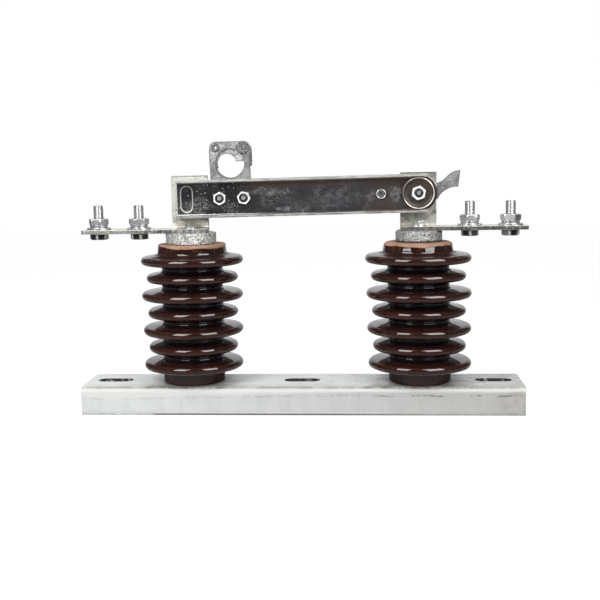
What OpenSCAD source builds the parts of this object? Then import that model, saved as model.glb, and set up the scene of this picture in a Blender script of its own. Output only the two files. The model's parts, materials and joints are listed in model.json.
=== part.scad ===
// Outdoor single-pole disconnect switch: a steel channel base, two brown porcelain posts,
// a knife blade pressed from two channels, and a pull-ring latch.
// X runs along the base from the contact end to the hinge end, Y to the back, Z up.
// The origin is the middle of the base's underside.

/* [Base channel] */
// Length of the base
base_len = 450; // [420:5:560]
// Width of the base
base_w = 69; // [65:1:90]
// Height of the base
base_h = 29; // [22:1:40]
// Sheet thickness of the base
base_t = 4; // [2.5:0.5:5]
// Inner bend radius of the base
base_bend = 1.5; // [0.5:0.5:3]
// Length of a fixing slot
slot_len = 37.5; // [25:0.5:42]
// Width of a fixing slot
slot_w = 15; // [9:0.5:18]
// Distance from the middle slot to each end slot
slot_spacing = 197; // [180:1:198]

/* [Porcelain posts] */
// Contact post axis, to the left of the middle
contact_post_x = 112.4; // [105:0.2:118]
// Hinge post axis, to the right of the middle
hinge_post_x = 120.8; // [112:0.2:124]
// Number of sheds on a post
shed_count = 7; // [4:1:10]
// Distance between sheds
shed_pitch = 18; // [16:0.25:24]
// Height of the lowest shed above the base
shed_foot_h = 19; // [18:0.5:40]
// Height of the terminal strips above the top shed
neck_h = 28; // [25:0.5:50]
// Radius of the contact post's top shed
contact_shed_r = 52.6; // [45:0.1:56]
// Radius of the hinge post's top shed
hinge_shed_r = 53.9; // [45:0.1:56]
// How much smaller every second shed is
shed_step = 5.3; // [0:0.1:8]
// How much smaller each shed is than the one above it
shed_taper = 0.22; // [0:0.02:0.6]
// Radius of a shed's rounded rim
rim_r = 4.2; // [3:0.1:5]
// Radius of the porcelain core between the sheds
core_r = 31.5; // [26:0.5:34]
// Radius of the round at the bottom of a groove
groove_r = 3.2; // [2:0.1:3.5]
// Radius of the foot of a post
foot_r = 31.8; // [27:0.1:33]
// Radius of the contact post's neck at its top
contact_neck_r = 34.7; // [32:0.1:38]
// Radius of the hinge post's neck at its top
hinge_neck_r = 35; // [33:0.1:38]
// Round on the contact post's top edge
contact_edge_r = 0.8; // [0.4:0.1:3]
// Round on the hinge post's top edge
hinge_edge_r = 4; // [0.5:0.1:6]

/* [Caps and fixings] */
// Radius of the contact post's metal cap
contact_cap_r = 25.8; // [22:0.1:28]
// Radius of the hinge post's metal cap
hinge_cap_r = 23.6; // [22:0.1:28]
// Height of the contact post's cap
contact_cap_h = 11.5; // [8:0.5:14]
// Height of the hinge post's cap
hinge_cap_h = 11.5; // [8:0.5:14]
// Chamfer on the hinge post's cap
hinge_cap_chamfer = 1.5; // [0.3:0.1:2]
// Radius of the cap's stem inside the porcelain
stem_r = 15; // [10:0.5:18]
// Length of the cap's stem
stem_len = 22; // [12:1:28]
// Radius of the threaded insert in a post's foot
insert_r = 13; // [10:0.5:16]
// Length of the foot insert
insert_len = 24; // [15:1:26]
// Cement gap round a stem or insert
cement_gap = 0.3; // [0.2:0.1:1]
// Metal left under a cap bolt's tip or over a foot bolt's tip
tip_gap = 3; // [2:0.5:5]
// Thread diameter of the cap bolts
cap_bolt_d = 6; // [5:1:8]
// Thread diameter of the foot bolts
foot_bolt_d = 10; // [8:1:12]

/* [Brackets] */
// Thickness of the brackets
bracket_t = 4; // [2:0.5:4.5]
// Inner bend radius of the brackets
bracket_bend = 2; // [1:0.5:3]
// From the post axis to a strip's front edge
strip_front = 15; // [13:0.5:18]
// How far the contact upright sits to the left of its post axis
contact_upright_shift = 2; // [0:0.1:3]
// From the post axis to the upright's front face
upright_y = 9.5; // [9:0.5:12]
// Height of the uprights above the strips' underside
upright_h = 58; // [56:1:62]
// Width of the contact upright
contact_upright_w = 38; // [32:1:40]
// Width of the hinge upright
hinge_upright_w = 36.8; // [32:0.2:38]
// Radius of the strips' corners
strip_corner_r = 2.5; // [1:0.5:5]
// From the contact post axis to the strip's end
contact_strip_len = 111.4; // [106:0.2:120]
// From the hinge post axis to the strip's end
hinge_strip_len = 108; // [106:0.2:120]

/* [Terminal bolts] */
// Thread diameter of the terminal bolts
term_d = 10; // [8:1:12]
// From the post axis to the contact end's inner terminal bolt
contact_term_in = 53.6; // [48:0.2:56]
// From the post axis to the contact end's outer terminal bolt
contact_term_out = 95.8; // [82:0.2:97]
// From the post axis to the hinge end's inner terminal bolt
hinge_term_in = 51; // [48:0.2:56]
// From the post axis to the hinge end's outer terminal bolt
hinge_term_out = 91.6; // [80:0.2:94]
// Length of thread above a terminal nut
term_stud_len = 13.5; // [8:0.5:20]
// How much wider a terminal nut is than its bolt's head
term_nut_extra = 1; // [0:0.5:2]

/* [Blade] */
// From the pivot to the blade's tip
blade_reach = 247.5; // [243:0.5:250]
// Height of the blade
blade_h = 38.6; // [36:0.1:41]
// Sheet thickness of the blade
blade_t = 2.5; // [1.5:0.5:3]
// Inner bend radius of the blade
blade_bend = 1; // [0.5:0.5:1.5]
// Depth of a blade channel over its flanges
flange_d = 11; // [8:0.5:12]
// How far the flanges run past the pivot
flange_end = 9; // [4:0.5:10]
// Gap between an upright and a blade's web
web_gap = 1.5; // [1:0.1:2]
// Running clearance between a pressed pad and an upright
pad_clear = 0.3; // [0.2:0.05:0.5]
// Height of the pivot above the strips' underside
pivot_h = 37.1; // [36.5:0.1:40]
// Thread diameter of the pivot and latch bolts
pivot_d = 8; // [6:1:10]
// Running clearance of the pivot bolt, on the radius
pivot_fit = 0.05; // [0.02:0.01:0.1]
// Slope of the closed blade, down towards its tip
blade_slope = 0.8; // [0:0.01:0.9]
// Width of the pressed contact pad
pad_w = 13; // [8:0.5:16]
// Height of the pressed contact pad
pad_len = 27.2; // [22:0.2:30]
// From the blade's tip to the contact pad's middle
pad_x = 9.7; // [9:0.1:12]
// From the pivot to the blade's rivet
rivet_x = 37.7; // [34:0.1:60]
// Diameter of the rivet's head
rivet_head_d = 9.7; // [8:0.1:12]
// Radius of the pivot's cup washer
cup_r = 16; // [12:0.5:16]
// Depth of the pivot's cup washer
cup_h = 6; // [4:0.5:7]
// Sheet thickness of the cup washer
cup_t = 1.2; // [0.8:0.1:1.6]
// Radius of the pressed pad round the pivot
pivot_pad_r = 11; // [9:0.5:12]
// Thickness of the stop horn
horn_t = 3; // [2:0.5:3.5]
// Radius of the stop horn's eye round the pivot
horn_eye_r = 11; // [10:0.5:13]
// Reach of the stop horn's tip behind the pivot
horn_reach = 44; // [40:0.5:46]
// Rise of the stop horn's tip above the pivot
horn_rise = 21.7; // [20:0.1:24]
// Radius of the stop horn's curved back
horn_back_r = 20.5; // [18:0.5:23]
// Length of thread left beyond a blade nut
thread_show = 1.2; // [0.5:0.1:3]

/* [Pull-ring latch] */
// From the blade pivot to the latch pivot
latch_x = 178; // [174:0.5:182]
// From the latch pivot to the latch's rest bolt
latch_rest_x = 24.9; // [23:0.1:27]
// Thickness of each latch plate
latch_t = 2.6; // [1.5:0.1:2.6]
// Outer radius of the spacer sleeves
sleeve_r = 6; // [5.6:0.1:6.4]
// Running clearance of the latch on its sleeve, on the radius
latch_fit = 0.06; // [0.02:0.01:0.1]
// Gap between the latch and its rest sleeve
latch_seat = 0.3; // [0.2:0.05:0.6]
// Middle of the ring plate, from the latch pivot towards the tip
ring_mid_x = 13.8; // [13:0.1:15]
// Width of the ring plate
ring_w = 41.6; // [38:0.2:44]
// Height of the ring plate above the blade's centreline
ring_top = 57.8; // [54:0.2:62]
// Corner radius of the ring plate
ring_corner_r = 6; // [3:0.5:8]
// Radius of the pulling eye
eye_r = 14.8; // [12:0.1:15.5]
// Height of the pulling eye above the blade's centreline
eye_z = 35.7; // [35:0.1:38]
// Inner radius of the rear hook
hook_r = 9.6; // [8:0.1:11]
// Thickness of the rear hook's point
hook_point = 5; // [4:0.1:6]
// Radius of the rivets in the latch plates
latch_rivet_r = 3; // [2:0.1:3.4]
// From the ring plate's left and top edges to the left rivet
rivet_in_left = 6.2; // [5:0.1:8]
// From the ring plate's right and top edges to the right rivet
rivet_in_right = 7; // [6:0.1:9]

/* [Hidden] */
$fn = 64;

// Heights, from the ground up
post_stack_h = shed_foot_h + shed_pitch * (shed_count - 1) + neck_h;
strip_z = base_h + post_stack_h;
strip_top = strip_z + bracket_t;
pivot_z = strip_z + pivot_h;

// Places from front to back
strip_depth = strip_front + upright_y + bracket_t;
strip_mid_y = strip_depth / 2 - strip_front;
mid_y = upright_y + bracket_t / 2;
web_in = bracket_t / 2 + web_gap;
web_out = web_in + blade_t;
pad_h = web_gap - pad_clear;
bolt_play = 0.5;
thread_play = 0.1;

// Left edge of the ring plate, from the latch pivot
ring_left = -ring_mid_x - ring_w / 2;

// Terminal bolts: place, turn of the nut and turn of the head
terminals = [
    [-contact_post_x - contact_term_out, -3, 30],
    [-contact_post_x - contact_term_in, 14, -9],
    [hinge_post_x + hinge_term_in, 9, 28],
    [hinge_post_x + hinge_term_out, -14, 16]
];

// Standard hexagon widths, and proportions of heads, nuts and washers, from the thread diameter
function across_flats(d) = lookup(d, [[5, 8], [6, 10], [8, 13], [10, 17], [12, 19]]);
function head_h(d) = 0.6 * d + 0.2;
function nut_h(d) = 0.62 * d + 0.3;
function flat_washer_r(d) = 1.1 * d + 1.2;
function flat_washer_t(d) = 0.15 * d + 0.4;
function spring_washer_r(d) = 0.86 * d + 0.5;
function spring_washer_t(d) = 0.28 * d;
function washers_h(d) = flat_washer_t(d) + spring_washer_t(d);

// Points on an arc, in order from the first angle to the last
function arc(cx, cy, r, from, to, steps) =
    [for (i = [0:steps]) let (a = from + (to - from) * i / steps) [cx + r * cos(a), cy + r * sin(a)]];

// Rectangle between two corners, with round corners
module round_rect(x0, y0, x1, y1, r) {
    translate([x0 + r, y0]) square([x1 - x0 - 2 * r, y1 - y0]);
    translate([x0, y0 + r]) square([x1 - x0, y1 - y0 - 2 * r]);
    for (x = [x0 + r, x1 - r], y = [y0 + r, y1 - r]) translate([x, y]) circle(r);
}

// Upright slot with round ends
module slot_shape(w, len) {
    square([w, len - w], center = true);
    for (s = [-1, 1]) translate([0, s * (len - w) / 2]) circle(w / 2);
}

// Hexagon prism with both ends chamfered at its corners
module hex_blank(af, h) {
    corner_r = af / 2 / cos(30);
    bevel = (corner_r - af / 2) / 2;
    intersection() {
        cylinder(r = corner_r, h = h, $fn = 6);
        rotate_extrude() polygon([
            [0, 0], [af / 2, 0], [corner_r, bevel], [corner_r, h - bevel], [af / 2, h], [0, h]
        ]);
    }
}

// Hexagon bolt with its head below the origin and its thread along +Z
module bolt(d, len) {
    point = d * 0.1;
    translate([0, 0, -head_h(d)]) hex_blank(across_flats(d), head_h(d));
    cylinder(d = d, h = len - point);
    translate([0, 0, len - point]) cylinder(d1 = d, d2 = d - 2 * point, h = point);
}

module nut(d, extra = 0) {
    difference() {
        hex_blank(across_flats(d) + extra, nut_h(d));
        translate([0, 0, -1]) cylinder(r = d / 2 + thread_play, h = nut_h(d) + 2);
    }
}

module flat_washer(d, flat_r) {
    difference() {
        cylinder(r = flat_r, h = flat_washer_t(d));
        translate([0, 0, -1]) cylinder(r = d / 2 + thread_play, h = flat_washer_t(d) + 2);
    }
}

// Flat washer with a split spring washer on it
module washers(d, flat_r) {
    flat_washer(d, flat_r);
    translate([0, 0, flat_washer_t(d)]) difference() {
        cylinder(r = spring_washer_r(d), h = spring_washer_t(d));
        translate([0, 0, -1]) cylinder(r = d / 2 + thread_play, h = spring_washer_t(d) + 2);
        rotate(25) translate([d / 2, 0, spring_washer_t(d) / 2]) rotate([25, 0, 0])
            cube([d, d * 0.08, 2 * d], center = true);
    }
}

module base_channel() {
    outer = base_bend + base_t;
    color("lightgray") difference() {
        translate([-base_len / 2, 0, 0]) rotate([90, 0, 90]) linear_extrude(base_len) difference() {
            union() {
                translate([-base_w / 2, 0]) square([base_w, base_h - outer]);
                translate([-base_w / 2 + outer, 0]) square([base_w - 2 * outer, base_h]);
                for (s = [-1, 1]) translate([s * (base_w / 2 - outer), base_h - outer]) circle(outer);
            }
            translate([-base_w / 2 + base_t, -1]) square([base_w - 2 * base_t, base_h - outer + 1]);
            translate([-base_w / 2 + outer, -1]) square([base_w - 2 * outer, base_h - base_t + 1]);
            for (s = [-1, 1]) translate([s * (base_w / 2 - outer), base_h - outer]) circle(base_bend);
        }
        for (x = [-slot_spacing, 0, slot_spacing])
            translate([x, 0, base_h - base_t - 1]) linear_extrude(base_t + 2)
                rotate(90) slot_shape(slot_w, slot_len);
        for (x = [-contact_post_x, hinge_post_x])
            translate([x, 0, base_h - base_t - 1]) cylinder(d = foot_bolt_d + 2 * bolt_play, h = base_t + 2);
    }
}

// Radius and height of each shed, counted up from the foot
function shed_r(top_r, k) =
    let (from_top = shed_count - 1 - k)
    top_r - shed_taper * from_top - (from_top % 2 == 1 ? shed_step : 0);
function shed_z(k) = shed_foot_h + shed_pitch * k;

// Half of a post's section: foot, then each shed's rim with the groove above it, then the neck
function post_section(h, top_r, neck_r, edge_r) =
    let (
        foot_round = 2.5,
        lean = 75,
        flank = rim_r + groove_r + 1.5,
        neck_flare = 0.8,
        top_z = shed_z(shed_count - 1)
    )
    concat(
        [[0, 0]],
        arc(foot_r - foot_round, foot_round, foot_round, -90, 0, 4),
        arc(foot_r + groove_r, shed_z(0) - flank, groove_r, 180, 180 - lean, 4),
        [for (k = [0:shed_count - 1])
            each concat(
                arc(shed_r(top_r, k) - rim_r, shed_z(k), rim_r, -lean, lean, 8),
                k == shed_count - 1 ? [] :
                    arc(core_r + groove_r, shed_z(k) + shed_pitch / 2, groove_r, 180 + lean, 180 - lean, 6)
            )],
        arc(neck_r + neck_flare + groove_r, top_z + flank, groove_r, 180 + lean, 180, 4),
        arc(neck_r - edge_r, h - edge_r, edge_r, 0, 90, 5),
        [[0, h]]
    );

module post(h, top_r, neck_r, edge_r) {
    translate([0, 0, base_h]) difference() {
        rotate_extrude($fn = 96) polygon(post_section(h, top_r, neck_r, edge_r));
        translate([0, 0, h - stem_len - cement_gap]) cylinder(r = stem_r + cement_gap, h = stem_len + 1);
        translate([0, 0, -1]) cylinder(r = insert_r + cement_gap, h = insert_len + cement_gap + 1);
    }
}

module contact_post() {
    color("saddlebrown") translate([-contact_post_x, 0, 0])
        post(post_stack_h - contact_cap_h, contact_shed_r, contact_neck_r, contact_edge_r);
}

module hinge_post() {
    color("saddlebrown") translate([hinge_post_x, 0, 0])
        post(post_stack_h - hinge_cap_h, hinge_shed_r, hinge_neck_r, hinge_edge_r);
}

// Metal cap with its stem below, threaded for the cap bolt
module cap(r, h, chamfer) {
    translate([0, 0, strip_z - h]) difference() {
        rotate_extrude() polygon([
            [0, -stem_len], [stem_r, -stem_len], [stem_r, 0], [r - chamfer, 0],
            [r, chamfer], [r, h - chamfer], [r - chamfer, h], [0, h]
        ]);
        translate([0, 0, tip_gap - stem_len]) cylinder(r = cap_bolt_d / 2 + thread_play, h = stem_len + h);
    }
}

module contact_cap() {
    color("silver") translate([-contact_post_x, 0, 0]) cap(contact_cap_r, contact_cap_h, 0.4);
}

module hinge_cap() {
    color("silver") translate([hinge_post_x, 0, 0]) cap(hinge_cap_r, hinge_cap_h, hinge_cap_chamfer);
}

module foot_insert(x) {
    color("gray") translate([x, 0, base_h]) difference() {
        cylinder(r = insert_r, h = insert_len);
        translate([0, 0, -1]) cylinder(r = foot_bolt_d / 2 + thread_play, h = insert_len - tip_gap + 1);
    }
}

module foot_bolt(x) {
    seat = base_h - base_t - washers_h(foot_bolt_d);
    color("silver") translate([x, 0, seat])
        bolt(foot_bolt_d, base_t + washers_h(foot_bolt_d) + insert_len - 2 * tip_gap);
}

module foot_washers(x) {
    color("silver") translate([x, 0, base_h - base_t]) mirror([0, 0, 1])
        washers(foot_bolt_d, flat_washer_r(foot_bolt_d));
}

// Strip and upright cut and bent from one plate: beside the upright the strip stays flat
module bracket(post_x, strip_l, strip_r, upright_l, upright_w, holes) {
    bend_y = upright_y - bracket_bend;
    difference() {
        union() {
            difference() {
                translate([0, 0, strip_z]) linear_extrude(bracket_t)
                    round_rect(strip_l, -strip_front, strip_r, strip_depth - strip_front, strip_corner_r);
                translate([upright_l, bend_y, strip_z - 1]) cube([upright_w, strip_depth, bracket_t + 2]);
            }
            translate([upright_l, 0, 0]) bent_upright(upright_w, bend_y);
        }
        for (x = holes) translate([x, strip_mid_y, strip_z - 1])
            cylinder(d = term_d + 2 * bolt_play, h = bracket_t + 2);
        translate([post_x, 0, strip_z - 1]) cylinder(d = cap_bolt_d + 2 * bolt_play, h = bracket_t + 2);
    }
}

// Upright and the bend below it: their section, drawn out along the strip
module bent_upright(width, bend_y) {
    bend_z = strip_top + bracket_bend;
    outer = bracket_bend + bracket_t;
    rotate([90, 0, 90]) linear_extrude(width) {
        translate([upright_y, bend_z]) square([bracket_t, strip_z + upright_h - bend_z]);
        translate([bend_y - 1, strip_z]) square([1, bracket_t]);
        intersection() {
            translate([bend_y, bend_z]) difference() {
                circle(outer);
                circle(bracket_bend);
            }
            translate([bend_y, strip_z]) square(outer);
        }
    }
}

module contact_bracket() {
    upright_l = -contact_post_x - contact_upright_w / 2 - contact_upright_shift;
    color("gainsboro") bracket(
        -contact_post_x, -contact_post_x - contact_strip_len, upright_l + contact_upright_w,
        upright_l, contact_upright_w, [terminals[0][0], terminals[1][0]]
    );
}

module hinge_bracket() {
    upright_l = hinge_post_x - hinge_upright_w / 2;
    color("gainsboro") difference() {
        bracket(
            hinge_post_x, upright_l, hinge_post_x + hinge_strip_len,
            upright_l, hinge_upright_w, [terminals[2][0], terminals[3][0]]
        );
        translate([hinge_post_x, upright_y - 1, pivot_z]) rotate([-90, 0, 0])
            cylinder(r = pivot_d / 2 + pivot_fit, h = bracket_t + 2);
    }
}

module cap_bolt(x, turn) {
    seat = flat_washer_t(cap_bolt_d);
    reach = seat + bracket_t + min(contact_cap_h, hinge_cap_h) + stem_len - 2 * tip_gap;
    color("silver") translate([x, 0, strip_top + seat]) rotate([180, 0, turn])
        bolt(cap_bolt_d, reach);
}

module cap_washer(x) {
    color("silver") translate([x, 0, strip_top]) flat_washer(cap_bolt_d, flat_washer_r(cap_bolt_d));
}

module terminal_bolt(i) {
    len = bracket_t + washers_h(term_d) + nut_h(term_d) + term_stud_len;
    color("silver") translate([terminals[i][0], strip_mid_y, strip_z]) rotate(terminals[i][2])
        bolt(term_d, len);
}

module terminal_nut(i) {
    color("silver") translate([terminals[i][0], strip_mid_y, strip_top + washers_h(term_d)])
        rotate(terminals[i][1]) nut(term_d, term_nut_extra);
}

module terminal_washers(i) {
    color("silver") translate([terminals[i][0], strip_mid_y, strip_top])
        washers(term_d, flat_washer_r(term_d));
}

// Places a piece of the blade: the pivot is the origin there, and the blade points along -X
module on_blade() {
    translate([hinge_post_x, mid_y, pivot_z]) rotate([0, -blade_slope, 0]) children();
}

// Turns a flat outline into a plate between two distances behind the blade's middle
module upright_plate(y0, y1) {
    translate([0, y1, 0]) rotate([90, 0, 0]) linear_extrude(y1 - y0) children();
}

// Section of a blade channel: Y is the depth outwards from the web's inner face
module channel_section() {
    outer = blade_bend + blade_t;
    half = blade_h / 2;
    difference() {
        union() {
            translate([outer, -half]) square([flange_d - outer, blade_h]);
            translate([0, -half + outer]) square([outer, blade_h - 2 * outer]);
            for (s = [-1, 1]) translate([outer, s * (half - outer)]) circle(outer);
        }
        translate([blade_t, -half + outer]) square([flange_d, blade_h - 2 * outer]);
        translate([outer, -half + blade_t]) square([flange_d, blade_h - 2 * blade_t]);
        for (s = [-1, 1]) translate([outer, s * (half - outer)]) circle(blade_bend);
    }
}

// One pressed blade on the back of the switch: web, flanges, round end and pressed pads
module blade_half() {
    press = 0.8;
    difference() {
        union() {
            translate([-blade_reach, web_in, 0]) rotate([90, 0, 90])
                linear_extrude(blade_reach + flange_end) channel_section();
            upright_plate(web_in, web_out) circle(blade_h / 2);
            upright_plate(web_in - pad_h, web_in) {
                translate([-blade_reach + pad_x, 0]) slot_shape(pad_w - 2 * press, pad_len - 2 * press);
                circle(pivot_pad_r - press);
            }
        }
        upright_plate(web_out - pad_h, web_out + 1) {
            translate([-blade_reach + pad_x, 0]) slot_shape(pad_w, pad_len);
            circle(pivot_pad_r);
        }
        upright_plate(web_in - pad_h - 1, web_out + 1) {
            circle(pivot_d / 2 + thread_play);
            for (x = [-latch_x, -latch_x - latch_rest_x, -rivet_x])
                translate([x, 0]) circle(pivot_d / 2 + thread_play);
        }
    }
}

module blade_front() {
    color("dimgray") on_blade() mirror([0, 1, 0]) blade_half();
}

module blade_rear() {
    color("dimgray") on_blade() blade_half();
}

// Rivet that holds the two webs apart, with a round head on each side
module blade_rivet() {
    head_r = rivet_head_d / 2;
    head_rise = 2.2;
    ball_r = (head_r * head_r + head_rise * head_rise) / 2 / head_rise;
    color("darkgray") on_blade() translate([-rivet_x, 0, 0]) {
        rotate([90, 0, 0]) cylinder(r = sleeve_r, h = 2 * web_in, center = true);
        translate([0, web_out + horn_t, 0]) rotate([90, 0, 0])
            cylinder(d = pivot_d, h = 2 * web_out + horn_t);
        for (side = [[-web_out, 90], [web_out + horn_t, -90]])
            translate([0, side[0], 0]) rotate([side[1], 0, 0]) intersection() {
                translate([0, 0, head_rise - ball_r]) sphere(ball_r);
                cylinder(r = head_r, h = head_rise + 1);
            }
    }
}

// Curved tail behind the hinge: it limits how far the blade opens
module stop_horn() {
    arm_w = 16;
    color("darkgray") on_blade() difference() {
        union() {
            upright_plate(web_out, web_out + horn_t) {
                circle(horn_eye_r);
                translate([-rivet_x, -arm_w / 2]) square([rivet_x + horn_eye_r / 2, arm_w]);
                translate([-rivet_x, 0]) circle(arm_w / 2);
            }
            upright_plate(web_out, web_out + horn_t) horn_shape();
        }
        upright_plate(web_out - 1, web_out + horn_t + 1) {
            circle(pivot_d / 2 + thread_play);
            translate([-rivet_x, 0]) circle(pivot_d / 2 + thread_play);
        }
    }
}

// Outline of the horn: a throat beside the pivot that runs smoothly into a beak curved up and back
module horn_shape() {
    root = 0.82 * horn_eye_r;
    turn = 40;
    back_z = horn_rise - horn_back_r;
    join_x = horn_reach - horn_back_r * cos(turn);
    join_z = back_z + horn_back_r * sin(turn);
    throat_r = (join_z - root) / (1 - sin(turn));
    polygon(concat(
        [[-root / 4, root]],
        arc(join_x - throat_r * cos(turn), root + throat_r, throat_r, -90, -turn, 5),
        arc(horn_reach, back_z, horn_back_r, 180 - turn, 92, 6),
        arc(horn_reach - 4.5, -17, horn_back_r + 1.5, 86, 153, 7),
        [[14, -root], [-root / 4, -root]]
    ));
}

module pivot_bolt() {
    grip = 2 * web_out + horn_t + 2 * cup_t;
    color("silver") on_blade() translate([0, web_out + horn_t + cup_t, 0]) rotate([90, 0, 0])
        bolt(pivot_d, grip + nut_h(pivot_d) + thread_show);
}

module pivot_nut() {
    color("silver") on_blade() translate([0, -web_out - cup_t, 0]) rotate([90, 20, 0]) nut(pivot_d);
}

// Dished washer, open towards +Z
module cup() {
    difference() {
        cylinder(r = cup_r, h = cup_h);
        translate([0, 0, cup_t]) cylinder(r = cup_r - cup_t, h = cup_h);
        translate([0, 0, -1]) cylinder(r = pivot_d / 2 + thread_play, h = cup_t + 2);
    }
}

module pivot_cup_front() {
    color("gainsboro") on_blade() translate([0, -web_out, 0]) rotate([90, 0, 0]) cup();
}

module pivot_cup_rear() {
    color("gainsboro") on_blade() translate([0, web_out + horn_t, 0]) rotate([-90, 0, 0]) cup();
}

module latch_bolt(x, turn) {
    color("silver") on_blade() translate([-x, web_out, 0]) rotate([90, turn, 0])
        bolt(pivot_d, 2 * web_out + nut_h(pivot_d) + thread_show);
}

module latch_nut(x, turn) {
    color("silver") on_blade() translate([-x, -web_out, 0]) rotate([90, turn, 0]) nut(pivot_d);
}

module latch_sleeve(x) {
    color("gray") on_blade() translate([-x, web_in, 0]) rotate([90, 0, 0]) difference() {
        cylinder(r = sleeve_r, h = 2 * web_in);
        translate([0, 0, -1]) cylinder(r = pivot_d / 2 + thread_play, h = 2 * web_in + 2);
    }
}

// Lower part of both latch plates: a round lug on the pivot and a shoulder over the rest bolt
module latch_foot(left) {
    lug_r = 11;
    shoulder = sleeve_r + latch_seat;
    difference() {
        union() {
            circle(lug_r);
            translate([-lug_r, 0]) square([2 * lug_r - 3, blade_h / 2]);
            translate([left, shoulder]) square([-left, blade_h / 2 - shoulder]);
        }
        circle(sleeve_r + latch_fit);
    }
}

module latch_ring() {
    color("darkgray") on_blade() translate([-latch_x, 0, 0]) difference() {
        upright_plate(-latch_t, 0) {
            latch_foot(ring_left + ring_corner_r / 2);
            round_rect(ring_left, blade_h / 2 - ring_corner_r, ring_left + ring_w, ring_top, ring_corner_r);
        }
        upright_plate(-latch_t - 1, 1) {
            translate([-ring_mid_x, eye_z]) circle(eye_r);
            latch_rivet_places();
        }
    }
}

// Rivet holes at the ring plate's upper corners
module latch_rivet_places() {
    translate([ring_left + rivet_in_left, ring_top - rivet_in_left]) circle(latch_rivet_r);
    translate([ring_left + ring_w - rivet_in_right, ring_top - rivet_in_right]) circle(latch_rivet_r);
}

// Rear plate: a hook round the eye, open at its lower right
module latch_hook() {
    left = ring_left - 0.8;
    right = ring_left + ring_w + 1.8;
    bottom = blade_h / 2 + 8;
    corner = 8;
    hook_x = -ring_mid_x - 3.6;
    mouth_z = eye_z + 1.7;
    color("darkgray") on_blade() translate([-latch_x, 0, 0]) difference() {
        upright_plate(0, latch_t) {
            latch_foot(left + 6);
            round_rect(left, bottom, right, ring_top - 1.4, corner);
            translate([left + 6, blade_h / 2 - 1]) square([right - left - 16, bottom + corner - blade_h / 2]);
        }
        upright_plate(-1, latch_t + 1) {
            translate([hook_x, eye_z]) circle(hook_r);
            translate([hook_x, blade_h / 2]) square([right - hook_x - 3, mouth_z - blade_h / 2]);
            translate([right - 10, 0]) square([20, mouth_z - hook_point]);
            intersection() {
                translate([-ring_mid_x, eye_z]) circle(eye_r);
                translate([ring_left, 0]) square([ring_w, eye_z - 5]);
            }
            latch_rivet_places();
        }
    }
}

// Round-headed rivet through both latch plates
module latch_rivet(from_left, from_top, head_r, bore_r) {
    rise = 1.2;
    color("dimgray") on_blade() translate([-latch_x + ring_left + from_left, 0, ring_top - from_top])
        difference() {
            union() {
                rotate([90, 0, 0]) cylinder(r = latch_rivet_r - thread_play, h = 2 * latch_t, center = true);
                for (s = [-1, 1]) rotate([90 * s, 0, 0]) translate([0, 0, latch_t])
                    cylinder(r1 = head_r, r2 = head_r - rise / 2, h = rise);
            }
            rotate([90, 0, 0]) cylinder(r = bore_r, h = 4 * latch_t, center = true);
        }
}

module latch_rivet_left() {
    latch_rivet(rivet_in_left, rivet_in_left, 4.5, 1.7);
}

module latch_rivet_right() {
    latch_rivet(ring_w - rivet_in_right, rivet_in_right, 6.4, 0.8);
}

base_channel();
contact_post();
hinge_post();
contact_cap();
hinge_cap();
foot_insert(-contact_post_x);  // contact_foot_insert
foot_insert(hinge_post_x);  // hinge_foot_insert
foot_bolt(-contact_post_x);  // contact_foot_bolt
foot_bolt(hinge_post_x);  // hinge_foot_bolt
foot_washers(-contact_post_x);  // contact_foot_washers
foot_washers(hinge_post_x);  // hinge_foot_washers
contact_bracket();
hinge_bracket();
cap_bolt(-contact_post_x, 8);  // contact_cap_bolt
cap_bolt(hinge_post_x, 26);  // hinge_cap_bolt
cap_washer(-contact_post_x);  // contact_cap_washer
cap_washer(hinge_post_x);  // hinge_cap_washer
for (i = [0:3]) {
    terminal_bolt(i);
    terminal_nut(i);
    terminal_washers(i);
}
blade_front();
blade_rear();
blade_rivet();
stop_horn();
pivot_bolt();
pivot_nut();
pivot_cup_front();
pivot_cup_rear();
latch_bolt(latch_x, 0);  // latch_pivot_bolt
latch_bolt(latch_x + latch_rest_x, 30);  // latch_rest_bolt
latch_nut(latch_x, -11);  // latch_pivot_nut
latch_nut(latch_x + latch_rest_x, 30);  // latch_rest_nut
latch_sleeve(latch_x);  // latch_pivot_sleeve
latch_sleeve(latch_x + latch_rest_x);  // latch_rest_sleeve
latch_ring();
latch_hook();
latch_rivet_left();
latch_rivet_right();
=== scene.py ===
import json
import math
from functools import partial
from types import SimpleNamespace as Spec

import bpy
import numpy as np
from mathutils import Matrix, Vector


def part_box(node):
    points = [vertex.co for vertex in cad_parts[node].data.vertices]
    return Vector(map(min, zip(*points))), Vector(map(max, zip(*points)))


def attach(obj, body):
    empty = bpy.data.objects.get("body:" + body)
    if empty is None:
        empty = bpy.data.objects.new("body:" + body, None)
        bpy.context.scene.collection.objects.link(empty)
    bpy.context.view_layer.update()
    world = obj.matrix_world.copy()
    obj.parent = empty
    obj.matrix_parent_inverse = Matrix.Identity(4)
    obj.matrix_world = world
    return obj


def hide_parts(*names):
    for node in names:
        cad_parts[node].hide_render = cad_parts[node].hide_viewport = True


# Looks for an outdoor disconnect switch: metres, X along the base, Y to the back, Z up
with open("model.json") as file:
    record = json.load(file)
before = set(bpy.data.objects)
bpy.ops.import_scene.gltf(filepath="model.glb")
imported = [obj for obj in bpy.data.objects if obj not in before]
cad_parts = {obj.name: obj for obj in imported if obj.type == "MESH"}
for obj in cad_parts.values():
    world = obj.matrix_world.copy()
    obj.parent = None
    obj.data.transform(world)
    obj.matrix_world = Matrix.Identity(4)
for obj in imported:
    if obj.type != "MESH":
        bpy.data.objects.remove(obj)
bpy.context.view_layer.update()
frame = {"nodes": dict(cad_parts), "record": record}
nodes = frame["nodes"]
scene = bpy.context.scene
scene.view_settings.view_transform = "Standard"
mm = 0.001
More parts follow.
